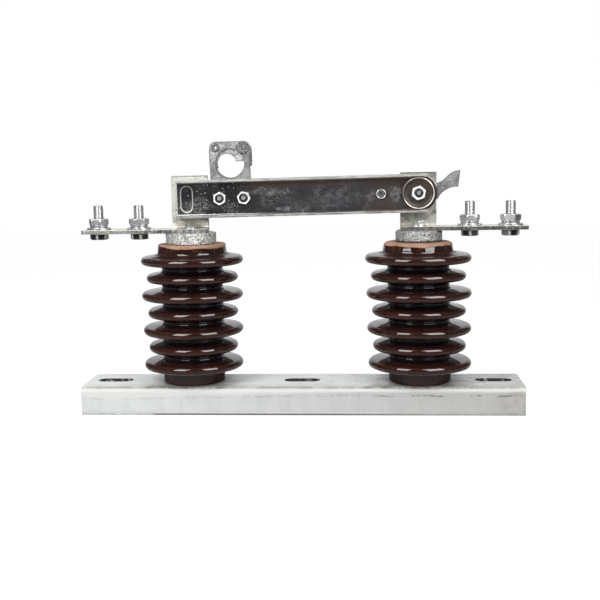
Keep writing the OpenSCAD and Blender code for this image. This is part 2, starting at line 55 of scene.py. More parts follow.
print("frame loaded:", len(nodes), "nodes")


def newObject(name, data):
    made = bpy.data.objects.new(name, data)
    scene.collection.objects.link(made)
    return made


def meshPiece(name, points, faces, body, slotName, smoothAngle):
    # points is an (n, 3) array in metres, faces a list of index tuples
    mesh = bpy.data.meshes.new(name)
    mesh.from_pydata(points.tolist(), [], faces)
    mesh.validate()
    mesh.shade_smooth()
    mesh.update()
    mesh.set_sharp_from_angle(angle=math.radians(smoothAngle))
    mesh.materials.append(finishOf[slotName])
    piece = newObject(name, mesh)
    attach(piece, body)
    return piece


def giveValues(piece, label, values):
    # a number on each point of the mesh
    attribute = piece.data.attributes.new(label, "FLOAT", "POINT")
    attribute.data.foreach_set("value", np.asarray(values).astype(np.float32))


def gridFaces(rows, columns, closed=False):
    # quads of a grid whose columns close into a ring; point index = row * columns + column
    r, c = np.meshgrid(np.arange(rows if closed else rows - 1), np.arange(columns), indexing="ij")
    r2, c2 = (r + 1) % rows, (c + 1) % columns
    quads = np.stack([r * columns + c, r * columns + c2, r2 * columns + c2, r2 * columns + c], axis=-1)
    return [tuple(q) for q in quads.reshape(-1, 4).tolist()]


def capFaces(rows, columns):
    # a fan of triangles from the last row to the point after the grid, and from the first row to the next
    c = np.arange(columns)
    after, last, pole = (c + 1) % columns, (rows - 1) * columns, rows * columns
    top = np.stack([last + c, last + after, np.full(columns, pole)], axis=-1)
    bottom = np.stack([np.full(columns, pole + 1), after, c], axis=-1)
    return [tuple(t) for t in np.vstack([top, bottom]).tolist()]


def part(values):
    # the part of a ramp between zero and one
    return np.clip(values, 0, 1)


def arcPoints(cx, cy, radius, start, stop, steps):
    # points on an arc from one angle to the other, in degrees
    angle = np.radians(np.linspace(start, stop, steps + 1))
    return np.stack([cx + radius * np.cos(angle), cy + radius * np.sin(angle)], axis=-1)


def emptyTree(owner):
    owner.use_nodes = True
    owner.node_tree.nodes.clear()
    return owner.node_tree


def addNode(tree, kind, inputs=None, **settings):
    made = tree.nodes.new(kind)
    for key, value in settings.items():
        setattr(made, key, value)
    for key, value in (inputs or {}).items():
        feed(value, made.inputs[key])
    return made


def feed(value, socket):
    # links a socket, or sets a plain value
    if isinstance(value, bpy.types.NodeSocket):
        socket.id_data.links.new(value, socket)
    elif isinstance(value, (tuple, list)) and socket.type == "RGBA" and len(value) == 3:
        socket.default_value = (*value, 1)
    else:
        socket.default_value = value


def treeOf(*values):
    # the node tree of the first value that is a socket
    return next(value.id_data for value in values if isinstance(value, bpy.types.NodeSocket))


def calc(operation, first, second=0.0, clamp=False):
    tree, values = treeOf(first, second), {0: first, 1: second}
    return addNode(tree, "ShaderNodeMath", values, operation=operation, use_clamp=clamp).outputs[0]


operations = ("ADD", "SUBTRACT", "MULTIPLY", "DIVIDE", "MAXIMUM", "GREATER_THAN", "LESS_THAN", "SQRT")
plus, minus, times, over, most, isOver, isUnder, root = (partial(calc, operation) for operation in operations)


def away(value, middle=None):
    # how far a value lies from a middle, or from zero
    return calc("ABSOLUTE", value if middle is None else minus(value, middle))


def fit(value, low, high, outLow=0.0, outHigh=1.0, smooth=True):
    # carries value from low..high to outLow..outHigh, with soft ends
    ends = {"Value": value, "From Min": low, "From Max": high, "To Min": outLow, "To Max": outHigh}
    style = "SMOOTHSTEP" if smooth else "LINEAR"
    return addNode(treeOf(value), "ShaderNodeMapRange", ends, interpolation_type=style, clamp=True).outputs[0]


def fade(value, low, high):
    # one under low, zero over high
    return fit(value, low, high, 1.0, 0.0)


def between(mask, first, second):
    # from the first value to the second, as the mask goes from zero to one
    return fit(mask, 0.0, 1.0, first, second)


def layer(under, colour, mask, amount=1.0):
    # a colour laid over another where the mask is
    strength = mask if amount == 1.0 else times(mask, amount)
    colours = {0: strength, 6: under, 7: colour}
    return addNode(treeOf(strength, under, colour), "ShaderNodeMix", colours, data_type="RGBA").outputs[2]


def mixValue(mask, first, second):
    return addNode(treeOf(mask, first, second), "ShaderNodeMix", {0: mask, 2: first, 3: second}).outputs[0]


def noise(place, scale, detail=3.0, rough=0.5, twist=0.0):
    values = {"Vector": place, "Scale": scale, "Detail": detail, "Roughness": rough, "Distortion": twist}
    return addNode(treeOf(place), "ShaderNodeTexNoise", values).outputs["Fac"]


def cells(place, scale):
    return addNode(treeOf(place), "ShaderNodeTexVoronoi", {"Vector": place, "Scale": scale}).outputs


def turned(place, angles=(0, 0, 0), scale=(1, 1, 1), shift=(0, 0, 0)):
    # stretches a pattern on a piece, then turns it
    values = {"Vector": place, "Rotation": tuple(math.radians(a) for a in angles), "Scale": scale, "Location": shift}
    return addNode(treeOf(place), "ShaderNodeMapping", values).outputs[0]


def stretched(place, *scale):
    return turned(place, scale=scale)


def axes(vector):
    return addNode(treeOf(vector), "ShaderNodeSeparateXYZ", {0: vector}).outputs


def channels(colour):
    return addNode(treeOf(colour), "ShaderNodeSeparateColor", {0: colour}).outputs


def faceAxes(place):
    # the three parts of the face's own normal
    return axes(addNode(place.id_data, "ShaderNodeNewGeometry").outputs["True Normal"])


def meshValue(place, name):
    # a number that comes with the mesh
    return addNode(place.id_data, "ShaderNodeAttribute", attribute_name=name).outputs["Fac"]


def newGroup(name, **numbers):
    # takes a place and some numbers, gives a mask
    group = bpy.data.node_groups.new(name, "ShaderNodeTree")
    group.interface.new_socket("Place", in_out="INPUT", socket_type="NodeSocketVector")
    for label, value in numbers.items():
        group.interface.new_socket(label, in_out="INPUT", socket_type="NodeSocketFloat").default_value = value
    group.interface.new_socket("Mask", in_out="OUTPUT", socket_type="NodeSocketFloat")
    return group, group.nodes.new("NodeGroupInput").outputs, group.nodes.new("NodeGroupOutput").inputs[0]


def useGroup(group, place, **inputs):
    return addNode(treeOf(place), "ShaderNodeGroup", {"Place": place, **inputs}, node_tree=group).outputs[0]


def makeEdgeWearAndShade():
    # an edge mask, for bright worn edges and for painted edge shade: how far the rounded normal leans away from the
    # face's own, broken up by noise
    group, into, out = newGroup("edgeWearAndShade", Radius=0.0006, Amount=1, Break=0.5)
    rounded = addNode(group, "ShaderNodeBevel", {"Radius": into["Radius"]}, samples=6).outputs[0]
    own = addNode(group, "ShaderNodeNewGeometry").outputs["Normal"]
    lean = addNode(group, "ShaderNodeVectorMath", {0: rounded, 1: own}, operation="DOT_PRODUCT").outputs["Value"]
    edge = fit(minus(1, lean), 0.01, 0.16)
    grain = fit(noise(into["Place"], 420, 4), 0.3, 0.7)
    feed(times(minus(edge, times(grain, into["Break"]), True), into["Amount"], True), out)
    return group


def makeScratches():
    # fine straight scratches along X: three layers of noise squeezed hard across a line, cut to their peaks
    group, into, out = newGroup("scratches", Scale=60, Density=0.5)
    total = 0
    for angle, stretch, shift in ((14, 26, 0.3), (-37, 18, 1.7), (71, 22, 3.1)):
        line = turned(into["Place"], (0, angle, 0), (1, stretch / 3, stretch), (shift, shift, shift))
        thin = plus(noise(line, into["Scale"], 1.5), times(into["Density"], 0.1))
        total = most(total, fit(thin, 0.68, 0.74))
    feed(times(total, fit(noise(into["Place"], 34, 2), 0.4, 0.62)), out)
    return group


def makeFlecks():
    # small scattered specks: round cells, each kept or dropped by its own random number
    group, into, out = newGroup("flecks", Scale=300, Share=0.3, Size=0.3)
    spots = cells(into["Place"], into["Scale"])
    kept = isUnder(channels(spots["Color"])[0], into["Share"])
    feed(times(fade(spots["Distance"], 0, into["Size"]), kept), out)
    return group


def makeMottle():
    # cloudy zinc coat: soft crystals over slow clouds
    group, into, out = newGroup("mottle", Scale=60)
    slow = noise(into["Place"], into["Scale"], 5, 0.62, 0.4)
    crystals = channels(cells(into["Place"], times(into["Scale"], 4))["Color"])[1]
    feed(fit(plus(times(slow, 0.75), times(crystals, 0.25)), 0.25, 0.75, smooth=False), out)
    return group


def makeOcclusionShade():
    # painted shade in corners: darker where nearby faces close in, broken up by noise
    group, into, out = newGroup("occlusionShade", Reach=0.004, Amount=1)
    shade = addNode(group, "ShaderNodeAmbientOcclusion", {"Distance": into["Reach"]}, samples=6).outputs["AO"]
    grain = fit(noise(into["Place"], 160, 4), 0.25, 0.75, 0.45, 1)
    feed(times(times(fade(shade, 0.35, 0.9), grain), into["Amount"], True), out)
    return group


groupMakers = (makeEdgeWearAndShade, makeScratches, makeFlecks, makeMottle, makeOcclusionShade)
edgeWearAndShade, scratches, flecks, mottle, occlusionShade = (partial(useGroup, make()) for make in groupMakers)
print("shared effects ready")


def startMaterial(name):
    # a new material, and the place of each point on a piece
    material = bpy.data.materials.new(name)
    return material, addNode(emptyTree(material), "ShaderNodeTexCoord").outputs["Object"]


def finish(material, tone, metallic, rough, height, strength, depth, radius=None, others=None):
    # a material's shader, with a bump over edges that a radius makes soft
    tree, bump = material.node_tree, {"Strength": strength, "Distance": depth, "Height": height}
    if radius:
        bump["Normal"] = addNode(tree, "ShaderNodeBevel", {"Radius": radius}, samples=6).outputs[0]
    values = {"Base Color": tone, "Metallic": metallic, "Roughness": rough, **(others or {})}
    values["Normal"] = addNode(tree, "ShaderNodeBump", bump).outputs[0]
    shader = addNode(tree, "ShaderNodeBsdfPrincipled", values)
    addNode(tree, "ShaderNodeOutputMaterial", {0: shader.outputs[0]})
    return material


baseLook = Spec(
    pale=(0.79, 0.81, 0.805), grey=(0.61, 0.63, 0.63), top=(0.93, 0.955, 0.955), bend=(0.67, 0.665, 0.64),
    right=(0.49, 0.485, 0.465), rusty=(0.4, 0.34, 0.29), stain=(0.2, 0.195, 0.18),
    smudge=(0.22, 0.215, 0.205), slot=(0.03, 0.03, 0.028), rim=(0.86, 0.86, 0.84), cut=(0.09, 0.09, 0.085),
    metallic=0.28, rough=0.42, slotHalf=0.0095, endAt=0.2245
)


def makeGalvanisedChannel(look, upper, feet):
    material, place = startMaterial("galvanisedChannel")
    x, y, z = axes(place)
    normalUp = faceAxes(place)[2]
    upward = fit(normalUp, 0.9, 0.995)
    upright = fade(away(normalUp), 0.15, 0.4)
    # soft clouds and upright rolling streaks, painted shade that darkens it towards the right, brownish at the right
    # end
    cloud = mottle(stretched(place, 1, 1, 0.45), Scale=30)
    streak = fit(noise(stretched(place, 1, 1, 0.1), 210, 4, 0.6), 0.38, 0.7)
    tone = layer(look.grey, look.pale, between(cloud, 0.35, 1))
    tone = layer(tone, look.grey, streak, 0.22)
    tone = layer(tone, look.right, fit(x, -0.16, 0.24, 0, 0.8, False))
    brownish = times(fit(x, 0.185, 0.22), fit(noise(place, 70, 4, 0.6), 0.38, 0.6))
    tone = layer(tone, look.rusty, brownish, 0.5)
    # the top face: paler by painted light, with long marks, grey smears beside the bend, and dirt and painted shade
    # round the two feet
    marks = fit(noise(turned(place, (0, 0, 8), (1, 7, 1)), 24, 5, 0.66), 0.4, 0.72)
    flat = layer(look.top, look.grey, marks, 0.4)
    blotch = fit(noise(stretched(place, 1, 2, 1), 60, 5, 0.68), 0.44, 0.66)
    flat = layer(flat, look.right, times(blotch, fit(x, -0.02, 0.14, 0.15, 0.75)))
    foot = most(*(fade(away(x, middle), 0.02, 0.075) for middle in feet))
    smear = fit(noise(stretched(place, 1, 3, 1), 60, 5, 0.72), 0.34, 0.6)
    smear = times(fade(y, -0.029, -0.015), smear)
    smear = times(smear, fit(noise(place, 380, 4, 0.75), 0.4, 0.58, 0.45, 1.1))
    flat = layer(flat, look.stain, times(smear, between(foot, 0.25, 1), True))
    flat = layer(flat, look.right, fit(x, 0.175, 0.218, 0, 0.5))
    tone = layer(tone, flat, upward)
    # the bend: a painted dark line where it starts, with dirt near the feet, then a painted highlight band, wider at
    # the left, with smudges under it
    shoulder = times(fit(normalUp, 0.5, 0.75), fade(normalUp, 0.96, 0.999))
    ragged = times(noise(stretched(place, 1, 1, 0.4), 40, 4, 0.65), 0.005)
    rise = minus(minus(z, ragged), fit(x, -0.2, 0.05, -0.0025, 0.0035, False))
    bend = times(fit(rise, upper - 0.0125, upper - 0.0085), minus(1, upward))
    tone = layer(tone, look.bend, bend)
    shoulderShadeAndDirt = times(foot, fit(noise(place, 260, 4, 0.7), 0.38, 0.6, 0.15, 0.6))
    shoulderShadeAndDirt = plus(fit(noise(place, 55, 4, 0.65), 0.36, 0.64, 0.2, 0.65), shoulderShadeAndDirt)
    tone = layer(tone, look.smudge, times(shoulder, shoulderShadeAndDirt))
    level = plus(fit(x, -0.2, 0, upper - 0.015, upper - 0.0115, False), ragged)
    ridge = fade(away(z, level), 0.0003, 0.0015)
    smudge = times(ridge, fit(noise(place, 130, 5, 0.72), 0.46, 0.62))
    tone = layer(tone, look.smudge, times(smudge, fit(x, -0.1, 0.16, 0.22, 0.9)))
    # the lower edge: a painted shade line along the floor, under a pale line
    started = times(fit(x, -0.153, -0.148), fit(x, 0.02, 0.175, 1, 0.12))
    cut = times(fade(z, 0.0014, 0.0021), started)
    pale = times(times(fit(z, 0.0015, 0.0022), fade(z, 0.0028, 0.0036)), started)
    tone = layer(tone, look.rim, pale, 0.8)
    tone = layer(tone, look.cut, cut, 0.85)
    # painted shade in the corners
    tone = layer(tone, look.stain, occlusionShade(place, Reach=0.007, Amount=0.85))
    # flecks, most of them at the left end
    specks = flecks(place, Scale=420, Share=0.22, Size=0.36)
    tone = layer(tone, look.stain, times(specks, fit(x, -0.222, -0.207, 0.75, 0.2)))
    # the walls of the three slots are in shade
    wall = times(upright, isUnder(away(y), look.slotHalf))
    wall = times(wall, isUnder(away(x), look.endAt))
    crumbs = times(fit(noise(place, 240, 3), 0.5, 0.62), fit(away(x), 0.05, 0.17, 0.3, 0.75))
    tone = layer(tone, layer(look.slot, look.right, crumbs), wall)
    metallic = times(minus(1, most(upward, bend)), look.metallic)
    rough = between(cloud, look.rough + 0.08, look.rough - 0.06)
    height = plus(cloud, times(noise(place, 700, 3), 0.5))
    return finish(material, tone, metallic, plus(rough, times(bend, 0.18)), height, 0.3, 0.0003, 0.0009)


castLook = Spec(
    pale=(0.6, 0.605, 0.6), dark=(0.07, 0.07, 0.068), bright=(0.9, 0.905, 0.9), pit=(0.035, 0.033, 0.03),
    metallic=0.35, rough=0.44
)


def makeRoughGalvanised(look):
    material, place = startMaterial("roughGalvanised")
    lumps = cells(turned(place, (20, 35, 10), (1, 1, 1.4)), 560)["Distance"]
    grain = noise(place, 560, 3, 0.65)
    slant = fit(noise(turned(place, (0, 38, 0), (1, 1, 4)), 230, 3), 0.44, 0.6)
    slow = fit(noise(place, 90, 3), 0.35, 0.65, 0, 0.35)
    tone = layer(look.dark, look.pale, fit(grain, 0.42, 0.57))
    tone = layer(tone, look.bright, slant, 0.4)
    tone = layer(tone, look.pale, slow)
    # painted shade: the hinge cap, on the right, is darker
    tone = layer(tone, look.dark, fit(axes(place)[0], -0.02, 0.02, 0, 0.35))  # the hinge cap is darker
    pits = flecks(place, Scale=340, Share=0.3, Size=0.42)
    tone = layer(tone, look.pit, pits, 0.9)
    # painted shade darkens the edges and the corners
    tone = layer(tone, look.dark, edgeWearAndShade(place, Radius=0.001, Amount=0.7, Break=0.5))
    tone = layer(tone, look.pit, occlusionShade(place, Reach=0.0035, Amount=0.85))
    rough = fit(grain, 0.3, 0.7, look.rough + 0.12, look.rough - 0.08)
    height = plus(minus(times(lumps, 0.8), pits), grain)
    return finish(material, tone, look.metallic, rough, height, 1, 0.0006, 0.0009)


plateLook = Spec(
    warm=(0.63, 0.615, 0.555), pale=(0.86, 0.852, 0.815), top=(0.92, 0.89, 0.83), cool=(0.48, 0.485, 0.46),
    olive=(0.2, 0.19, 0.14), soil=(0.37, 0.345, 0.285), cut=(0.08, 0.078, 0.07), cutPale=(0.44, 0.43, 0.4),
    shade=(0.5, 0.495, 0.455), scratch=(0.85, 0.85, 0.83), worn=(0.88, 0.87, 0.84), metallic=0.86, rough=0.3
)


def makePlatedBracket(look, cutY, stripTop, shadeTop, topEdge):
    material, place = startMaterial("platedBracket")
    x, y, z = axes(place)
    normalX, normalY, normalZ = faceAxes(place)
    cloud = mottle(place, Scale=60)
    slow = fit(noise(place, 22, 3, 0.55, 0.6), 0.35, 0.65)
    tone = layer(look.warm, look.pale, cloud)
    tone = layer(tone, look.cool, slow, 0.5)
    # painted shade darkens the uprights' front faces under the blade and all over the hinge side, least along the
    # contact plate's left edge
    under = times(fade(z, shadeTop - 0.001, shadeTop + 0.001), fit(x, -0.1305, -0.1275))
    dull = most(under, fit(x, 0, 0.02))
    # painted light makes upward faces paler
    tone = layer(tone, look.top, isOver(normalZ, 0.85), 0.7)
    standing = isUnder(normalY, -0.8)
    dull = times(times(dull, standing), between(slow, 0.72, 0.95))
    tone = layer(tone, look.shade, dull)
    # the contact plate is darker, browner and rougher where its two legs meet
    legJoin = times(fit(x, -0.1305, -0.127), fade(z, stripTop + 0.004, stripTop + 0.01))
    legJoin = times(legJoin, fit(x, -0.104, -0.1, 0.75, 0))
    tone = layer(tone, look.soil, legJoin)
    tone = layer(tone, look.olive, flecks(place, Scale=420, Share=0.16, Size=0.36), 0.5)
    lines = scratches(place, Scale=90, Density=0.4)
    tone = layer(tone, look.scratch, lines, 0.3)
    worn = edgeWearAndShade(place, Radius=0.0008, Amount=0.8, Break=0.4)
    # sheared edges are dark and torn, paler towards the left end of the contact strip
    sideways = isOver(away(normalX), 0.85)
    ahead = times(isUnder(normalY, -0.85), isUnder(y, cutY))
    above = times(isOver(normalZ, 0.85), isOver(z, shadeTop))
    sheared = most(most(sideways, above), ahead)
    torn = fit(noise(stretched(place, 1, 1, 0.6), 420, 4, 0.7), 0.44, 0.6)
    paler = most(fit(x, -0.178, -0.148, 0.75, 0.12), times(torn, fit(x, -0.05, 0.09, 0.9, 0.55)))
    paler = times(paler, between(above, 1, 0.3))
    tone = layer(tone, layer(look.cut, look.cutPale, paler), sheared)
    # the uprights' top edge is a dark line instead of a bright one
    crown = fit(z, topEdge - 0.0016, topEdge - 0.0004)
    tone = layer(tone, look.worn, times(worn, minus(1, crown)))
    tone = layer(tone, look.cut, times(crown, between(torn, 0.85, 0.45)))
    # painted shade in the corners, which are also rougher
    dirt = occlusionShade(place, Reach=0.007, Amount=0.75)
    tone = layer(tone, look.olive, dirt)
    rough = between(cloud, look.rough + 0.1, look.rough - 0.06)
    rough = plus(rough, times(most(dirt, legJoin), 0.3))
    height = plus(noise(place, 160, 4), times(lines, -0.4))
    metallic = minus(look.metallic, times(sheared, 0.3))
    return finish(material, tone, metallic, rough, height, 0.25, 0.0003, 0.0005)


bladeLook = Spec(
    bright=(0.37, 0.37, 0.37), blue=(0.33, 0.36, 0.41), brown=(0.36, 0.28, 0.23), fleck=(0.62, 0.62, 0.59),
    tip=(0.17, 0.18, 0.18), cloud=(0.32, 0.345, 0.375), cut=(0.29, 0.29, 0.275), cutLow=(0.17, 0.17, 0.16),
    rough=0.11
)
# dull patches: place from the pivot and from the blade's middle line, half width, half height, strength
bladeStains = [
    (-0.0475, -0.002, 0.006, 0.006, 0.55), (-0.024, 0.001, 0.0085, 0.0095, 0.62),
    (-0.15, 0.006, 0.022, 0.004, 0.55), (-0.14, -0.012, 0.009, 0.003, 0.6),
    (-0.09, -0.004, 0.03, 0.01, 0.3), (-0.116, -0.01, 0.007, 0.008, 0.4),
    (-0.07, 0.003, 0.02, 0.009, 0.22)
]


def makeBrightBlade(look, stains, pivot, slope, edgeDepth, pad):
    material, place = startMaterial("brightBlade")
    x, y, z = axes(place)
    # along: distance from the pivot, negative towards the tip; rise: height over the blade's middle line
    along = minus(x, pivot[0])
    rise = minus(minus(z, pivot[2]), times(along, math.sin(math.radians(slope))))
    cutEdge = isOver(away(y, pivot[1]), edgeDepth)
    # stains: brown along the top and by the hinge, blue-grey further out
    slow = fit(noise(stretched(place, 1, 1, 2.2), 17, 3, 0.55, 0.8), 0.38, 0.62)
    tint = fit(noise(turned(place, (0, 0, 0), (1, 1, 1.8), (0.3, 0.1, 0.7)), 26, 4, 0.6), 0.4, 0.6)
    tone = layer(look.bright, look.blue, slow)
    brown = most(times(fit(rise, 0.003, 0.012), fit(along, -0.2, -0.16)), fit(along, -0.09, -0.03, 0, 0.8))
    brown = most(brown, times(tint, 0.4))
    tone = layer(tone, look.brown, brown, 0.85)
    # dull patches: soft ovals with ragged rims, broken into grains
    ragged = minus(noise(place, 95, 4, 0.6), 0.5)
    patches = None
    for middleX, middleZ, halfWide, halfHigh, strength in stains:
        across = over(minus(along, middleX), halfWide)
        height = over(minus(rise, middleZ), halfHigh)
        far = root(plus(times(across, across), times(height, height)))
        oval = fit(plus(far, times(ragged, 2.4)), 0.55, 1.45, strength, 0)
        patches = oval if patches is None else most(patches, oval)
    grain = noise(place, 760, 4, 0.75)
    curds = fit(noise(place, 280, 4, 0.72), 0.4, 0.6, 0.3, 1.15)
    haze = times(times(patches, curds), fit(grain, 0.36, 0.62, 0.45, 1))
    # grains and flecks all over, densest at the tip, with short strokes, and least beside the hinge
    busy = times(fit(along, -0.19, -0.15, 1, 0.55), fit(along, -0.06, -0.03, 1, 0.6))
    tip = fade(along, -0.2, -0.165)
    tone = layer(tone, look.tip, tip, 0.45)
    slanted = stretched(turned(place, (0, -30, 0)), 1, 1, 0.35)
    strokes = flecks(slanted, Scale=640, Share=0.34, Size=0.34)
    fine = fit(grain, 0.54, 0.7, 0, 0.14)
    specks = flecks(place, Scale=560, Share=0.3, Size=0.4)
    lines = scratches(place, Scale=320, Density=0.5)
    marks = most(most(fine, times(specks, between(tip, 0.55, 0.3))), times(lines, 0.9))
    marks = most(marks, times(strokes, between(tip, 0.12, 1)))
    marks = times(marks, busy)
    # the raised oval pad at the tip has a pale worn rim with a painted highlight, strongest along its lower side:
    # distance from the pad's outline
    reach = most(minus(away(rise), pad.straight), 0)
    out = plus(along, pad.reach)
    outline = minus(root(plus(times(out, out), times(reach, reach))), pad.radius)
    rim = fade(away(plus(outline, 0.0003)), 0.0003, 0.0009)
    rim = times(rim, fit(plus(times(rise, -14), grain), 0.25, 0.75, 0.45, 1))
    worn = edgeWearAndShade(place, Radius=0.0009, Amount=0.6, Break=0.25)
    bare = most(most(rim, worn), marks)
    tone = layer(tone, look.cloud, haze)
    tone = layer(tone, look.fleck, bare)
    lines = fit(noise(turned(place, (0, 0.8, 0), (1, 1, 9)), 90, 4, 0.7), 0.4, 0.6)
    # painted shade: the lower flange's edge is darker than the upper one
    edge = layer(look.cutLow, look.cut, fit(rise, -0.01, 0.01))
    edge = layer(edge, look.fleck, lines, 0.55)
    tone = layer(tone, edge, cutEdge)
    dull = most(times(cutEdge, 0.75), most(times(bare, 0.85), times(haze, 0.7)))
    dull = most(dull, times(brown, 0.12))
    rough = plus(look.rough, times(haze, 0.16))
    rough = plus(rough, times(bare, 0.3), True)
    wave = plus(noise(place, 22, 2), times(marks, 0.12))
    rough = most(rough, times(cutEdge, 0.5))
    return finish(material, tone, minus(0.96, dull, True), rough, wave, 0.25, 0.0002, 0.0008)


matteLook = Spec(
    pale=(0.43, 0.445, 0.438), grey=(0.23, 0.237, 0.23), dark=(0.06, 0.063, 0.06), light=(0.58, 0.59, 0.58),
    dirt=(0.05, 0.05, 0.047), metallic=0.15, rough=0.5
)


def makeMatteGalvanised(look, hookFront, ringTop, hornLow):
    material, place = startMaterial("matteGalvanised")
    cloud = mottle(place, Scale=95)
    grain = noise(place, 700, 3, 0.6)
    tone = layer(look.grey, look.pale, cloud)
    # the hook plate behind the ring is paler, and painted light makes the top of the ring paler
    x, y, z = axes(place)
    latch = isUnder(x, 0)
    behind = times(isOver(y, hookFront), latch)
    paler = most(behind, fit(z, ringTop - 0.022, ringTop - 0.008, 0, 0.45))
    tone = layer(tone, look.light, paler)
    # painted shade darkens the horn, most along its lower border
    horn = minus(1, latch)
    tone = layer(tone, look.dark, times(horn, fit(z, hornLow, hornLow + 0.022, 0.5, 0.16)))
    tone = layer(tone, look.dark, fit(grain, 0.46, 0.62, 0, 0.6))
    tone = layer(tone, look.dark, fit(noise(place, 75, 4, 0.6), 0.5, 0.62, 0, 0.55))
    # painted shade darkens the edges, the rim of the hole and the corners, less on the hook plate
    tone = layer(tone, look.dark, edgeWearAndShade(place, Radius=0.0034, Amount=0.85, Break=0.15))
    dirt = occlusionShade(place, Reach=0.003, Amount=0.75)
    tone = layer(tone, look.dirt, times(dirt, minus(1, times(behind, 0.6))))
    rough = between(cloud, look.rough + 0.12, look.rough - 0.1)
    return finish(material, tone, look.metallic, rough, plus(cloud, grain), 0.45, 0.0004, 0.0006)


rivetLook = Spec(
    tone=(0.055, 0.058, 0.055), pale=(0.24, 0.245, 0.24), dirt=(0.05, 0.05, 0.05), metallic=0.4, rough=0.45
)


def makeDarkRivet(look):
    material, place = startMaterial("darkRivet")
    grain = noise(place, 520, 5, 0.65)
    tone = layer(look.tone, look.pale, fit(grain, 0.42, 0.6))
    # painted shade in the corners
    tone = layer(tone, look.dirt, occlusionShade(place, Reach=0.003, Amount=0.6))
    rough = fit(grain, 0.3, 0.7, look.rough + 0.15, look.rough - 0.1)
    return finish(material, tone, look.metallic, rough, grain, 0.6, 0.0004, 0.0006)


cupLook = Spec(
    bright=(0.82, 0.81, 0.78), grey=(0.3, 0.28, 0.25), dish=(0.044, 0.03, 0.022),
    dishPale=(0.074, 0.056, 0.043), rough=0.26
)


def makeCupWasher(look):
    material, place = startMaterial("cupWasher")
    # the dish inside the rim is dark brown, a stain with a painted dark reflection; the mask comes with the mesh, and
    # it also lays painted shade on the lip's left side
    inside = times(meshValue(place, "tone"), -1, True)
    grain = noise(place, 420, 4, 0.6)
    dish = layer(look.dish, look.dishPale, fit(grain, 0.35, 0.68))
    tone = layer(look.bright, look.grey, fit(grain, 0.55, 0.75, 0, 0.25))
    tone = layer(tone, dish, inside)
    rough = plus(look.rough, times(grain, 0.22))
    return finish(material, tone, between(inside, 0.75, 0.15), rough, grain, 0.25, 0.0003, 0.0003)


fastenerLook = Spec(
    bright=(0.73, 0.745, 0.75), grey=(0.59, 0.6, 0.605), turned=(0.86, 0.86, 0.84),
    black=(0.014, 0.015, 0.016), dark=(0.13, 0.13, 0.13), worn=(0.92, 0.92, 0.91), rough=0.27
)


def makePlatedFastener(look):
    material, place = startMaterial("platedFastener")
    # tone comes with the mesh: above zero a pale turned face, and painted highlights on corners and facets; below
    # zero painted shade
    tint = meshValue(place, "tone")
    pale = times(tint, 1, True)
    black = times(tint, -1, True)
    cloud = mottle(place, Scale=110)
    tone = layer(look.grey, look.bright, cloud)
    tone = layer(tone, look.dark, flecks(place, Scale=600, Share=0.1, Size=0.32), 0.15)
    tone = layer(tone, look.turned, pale)
    tone = layer(tone, look.black, black)
    # painted shade in the corners, less on the pale faces; the corners are also rougher
    dirt = occlusionShade(place, Reach=0.0022, Amount=0.7)
    tone = layer(tone, look.dark, times(dirt, minus(1, times(pale, 0.7))))
    tone = layer(tone, look.worn, edgeWearAndShade(place, Radius=0.0005, Amount=0.45, Break=0.3))
    metallic = minus(minus(0.9, times(pale, 0.7)), times(black, 0.5), True)
    rough = plus(between(cloud, look.rough + 0.06, look.rough - 0.04), times(pale, 0.25))
    # threads spread a reflection along the bolt, not round it
    thread = meshValue(place, "thread")
    rough = plus(plus(rough, times(thread, 0.13)), times(dirt, 0.15))
    tangent = addNode(place.id_data, "ShaderNodeTangent", direction_type="RADIAL", axis="Z").outputs[0]
    others = {"Anisotropic": times(thread, 0.9), "Anisotropic Rotation": 0.25, "Tangent": tangent}
    return finish(material, tone, metallic, rough, noise(place, 260, 3), 0.05, 0.0002, 0.0004, others)


glazeLook = Spec(
    front=(0.027, 0.009, 0.0072), groove=(0.014, 0.0095, 0.011), thin=(0.04, 0.0118, 0.008),
    clay=(0.35, 0.185, 0.112), clayPale=(0.47, 0.278, 0.183), clayDark=(0.17, 0.085, 0.05),
    drip=(0.13, 0.045, 0.022), dirt=(0.07, 0.045, 0.035), rough=0.045
)


